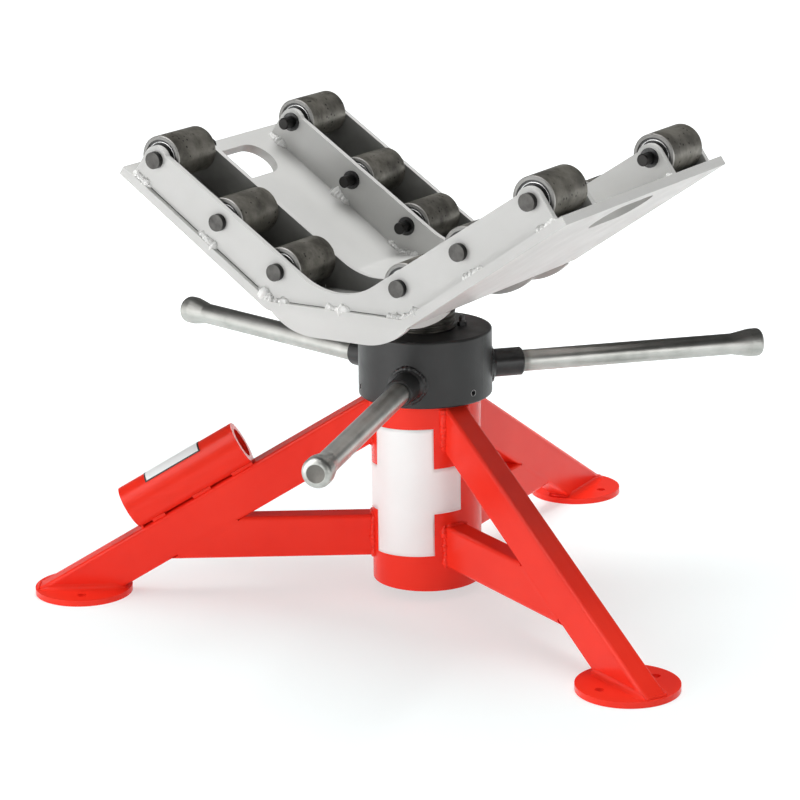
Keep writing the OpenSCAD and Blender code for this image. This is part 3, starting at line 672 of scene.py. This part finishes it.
welds, gaps = [], []
runs = [VALLEY_RUN] + [(sign * start, sign * stop) for sign in (-1, 1) for start, stop in ARM_RUNS]
for row, (y, face) in enumerate(((-OUTER_FACE, -1), (-INNER_FACE, 1), (INNER_FACE, -1), (OUTER_FACE, 1))):
    for order, (start, stop) in enumerate(runs):
        spots, normals = plate_top(np.linspace(start, stop, 24))
        seed = 600 + 20 * row + order
        lean = normals + [0, face, 0]
        welds.append(bead(spots + [0, y, 0], lean, HEAD_BEAD, seed, puddle=4.0, rough=0.42))
    # Painted shade: a thin dark line along the joint between the welds, on the outer plates only.
    for start, stop in JOINT_SHADE_RUNS if abs(y) == OUTER_FACE else ():
        spots, normals = plate_top(np.linspace(start, stop, 8))
        seam = spots + [0, y, 0] + 0.3 * normals
        gaps.append(bead(seam, normals + [0, 3.0 * face, 0], JOINT_LINE, 700, rough=0.05))
head_welds = piece("head_welds", *welds)
# Painted glints: the enamel on the welds is drawn much lighter than on the plates, standing for the sparkle
# of light on the lumps.
weld_glint_grey = Finish("grey_enamel_with_painted_glint", roughness=0.16)
weld_glint_grey.give("Coat Weight", 0.8)
weld_glint_grey.give("Coat Roughness", 0.05)
weld_glint_grey.mottle(weld_glint_grey.noise(150.0, 3.0), (0.86, 0.86, 0.84), (0.96, 0.96, 0.94))
weld_glint_grey.emboss(weld_glint_grey.noise(420.0, 3.0), strength=0.7, depth=0.003)
head_welds.data.materials.append(weld_glint_grey.material)
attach(head_welds, "head")
joint_shade_lines = piece("joint_shade_lines", *gaps)
joint_shade = Finish("painted_joint_shade", roughness=0.8)
joint_shade.mottle(joint_shade.noise(60.0), grey(0.05), grey(0.14))
joint_shade_lines.data.materials.append(joint_shade.material)
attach(joint_shade_lines, "head")

# Axle pins: turned steel pins with a flat head on the outer side, faced on a lathe, so the heads carry
# fine rings that spread the light in two fans.
PINS = {"low": (11.9, 28.1), "mid": (92.8, 25.2), "top": (187.3, 28.6)}
HEAD_R, HEAD_FACE = 8.5, 167.6
HEAD_EDGE = (166.8, 167.4)
RING_PITCH, RING_PROUD, RING_DEPTH = 0.6, 0.10, 0.03
pin_steel = Finish("turned_pin", metallic=1.0)
lay = pin_steel.noise(130.0, 5.0, 0.6)
tone = pin_steel.ramp(lay, (0.3, (0.048, 0.046, 0.044)), (0.7, (0.097, 0.094, 0.090)))
off_middle = pin_steel.number("ABSOLUTE", pin_steel.node("SeparateXYZ", {0: pin_steel.spot}).outputs["Y"])
# The pin is drawn very dark everywhere but on its faced head; on the head's side this darkness is painted
# shade.
inner = pin_steel.fade_mm(off_middle, *HEAD_EDGE, 1.0, 0.0)
pin_steel.give("Base Color", pin_steel.mix(inner, tone, (0.034, 0.033, 0.032, 1)))
pin_steel.give("Roughness", pin_steel.fade(lay, 0.0, 1.0, 0.30, 0.5))
coat(pin_steel, "axle_pins")


def pin_axis(side, row):
    """x and z of a pin, from its distance along the arm and its height above it."""
    s, h = PINS[row]
    x = side * (FLAT_HALF + s * np.cos(ARM) - h * np.sin(ARM))
    return x, SEAT_Z + s * np.sin(ARM) + h * np.cos(ARM)


# Each face is a disc of rings whose height is a cosine of the radius, with its edge sunk in the head.
ring = np.linspace(HEAD_R, 0.05, 60)[:, None]
turn = np.linspace(0, 2 * np.pi, 48, endpoint=False)[None, :]
groove = RING_PROUD + RING_DEPTH * np.cos(2 * np.pi * ring / RING_PITCH) + 0 * turn
groove[0] = -0.2
faces = []
for end in (-1, 1):
    for side in (-1, 1):
        for row in PINS:
            x, z = pin_axis(side, row)
            disc = [x + ring * np.cos(turn), end * (HEAD_FACE + groove), z + end * ring * np.sin(turn)]
            faces.append(surface(np.stack(disc, axis=-1), wrap_v=True))
pin_faces = piece("pin_faces", *faces)
pin_faces.data.materials.append(pin_steel.material)
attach(pin_faces, "head")

# Rollers: lengths of thick steel tube with rims turned bright and mill scale left between, each on two
# shielded bearings whose ground races show as a thin ring inside the rim.
ROLLER_NEAR, ROLLER_FAR = 89.55, 153.05
ROLLER_MIDDLE, ROLLER_HALF = (ROLLER_NEAR + ROLLER_FAR) / 2, (ROLLER_FAR - ROLLER_NEAR) / 2
TURNED_RIM, END_EDGE = (1.3, 0.9), (0.2, 0.1)
BEARING_SINK = 1.2
RACE_R, RACE_HALF_WIDTH, RACE_PROUD = 16.3, 0.5, 0.35
scale_steel = Finish("mill_scale_steel", metallic=0.6)
patch = scale_steel.noise(42.0, 6.0, 0.62)
tone = scale_steel.ramp(patch, (0.30, (0.113, 0.106, 0.089)), (0.44, (0.215, 0.204, 0.176)),
                        (0.60, (0.294, 0.281, 0.246)), (0.76, (0.17, 0.155, 0.131)))
blotch = scale_steel.fade(scale_steel.noise(24.0, 5.0, 0.6), 0.38, 0.58, 0.55, 1.0)
pits = scale_steel.node("TexVoronoi", {"Vector": scale_steel.spot, "Scale": 170.0, "Randomness": 1.0})
pitted = scale_steel.fade(pits.outputs["Distance"], 0.14, 0.26, 0.16, 1.0)
smooth = scale_steel.fade(scale_steel.noise(60.0), 0.46, 0.54, 1.0, 0.0)
for darker in (blotch, scale_steel.number("MAXIMUM", pitted, smooth)):
    tone = scale_steel.mix(1.0, tone, darker, blend_type="MULTIPLY")
across = scale_steel.number("ABSOLUTE", scale_steel.node("SeparateXYZ", {0: scale_steel.spot}).outputs["Y"])
off_middle = scale_steel.number("ABSOLUTE", scale_steel.number("SUBTRACT", across, ROLLER_MIDDLE / 1000))
rim = scale_steel.fade_mm(off_middle, *np.subtract(ROLLER_HALF, TURNED_RIM))
tone = scale_steel.mix(rim, tone, (0.43, 0.42, 0.40, 1))
end_face = scale_steel.fade_mm(off_middle, *np.subtract(ROLLER_HALF, END_EDGE))
scale_steel.give("Base Color", scale_steel.mix(end_face, tone, (0.19, 0.187, 0.18, 1)))
scale_steel.give("Roughness", scale_steel.fade(patch, 0.3, 0.7, 0.50, 0.34))
scale_steel.emboss(patch, strength=0.16, depth=0.0008)
seal = Finish("dark_shield")
seal.mottle(seal.noise(200.0, 3.0), grey(0.020), grey(0.055), rough=(0.35, 0.55))
bright_race = Finish("ground_race", metallic=1.0)
bright_race.mottle(bright_race.noise(300.0, 3.0), grey(0.56), grey(0.70), rough=(0.22, 0.34))

hoop = np.linspace(0, 2 * np.pi, 72, endpoint=False)[:, None]
round_ring = np.linspace(0, 2 * np.pi, 12, endpoint=False)[None, :]
for rail, end in (("front", -1), ("rear", 1)):
    for name, side in (("left", -1), ("right", 1)):
        for row in PINS:
            key = f"{rail}_{name}_{row}"
            x, z = pin_axis(side, row)
            coat(scale_steel, "roller_" + key)
            coat(seal, "bearings_" + key)
            rings = []
            for face, out in ((ROLLER_NEAR + BEARING_SINK, -1), (ROLLER_FAR - BEARING_SINK, 1)):
                radius = RACE_R + RACE_HALF_WIDTH * np.cos(round_ring)
                y = end * (face + out * RACE_PROUD * np.sin(round_ring)) + 0 * hoop
                hoops = np.stack([x + radius * np.cos(hoop), y, z + radius * np.sin(hoop)], axis=-1)
                flip = end * out > 0
                rings.append(surface(hoops[:, ::-1] if flip else hoops, wrap_u=True, wrap_v=True))
            race = piece("race_" + key, *rings)
            race.data.materials.append(bright_race.material)
            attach(race, "rolling_" + key)
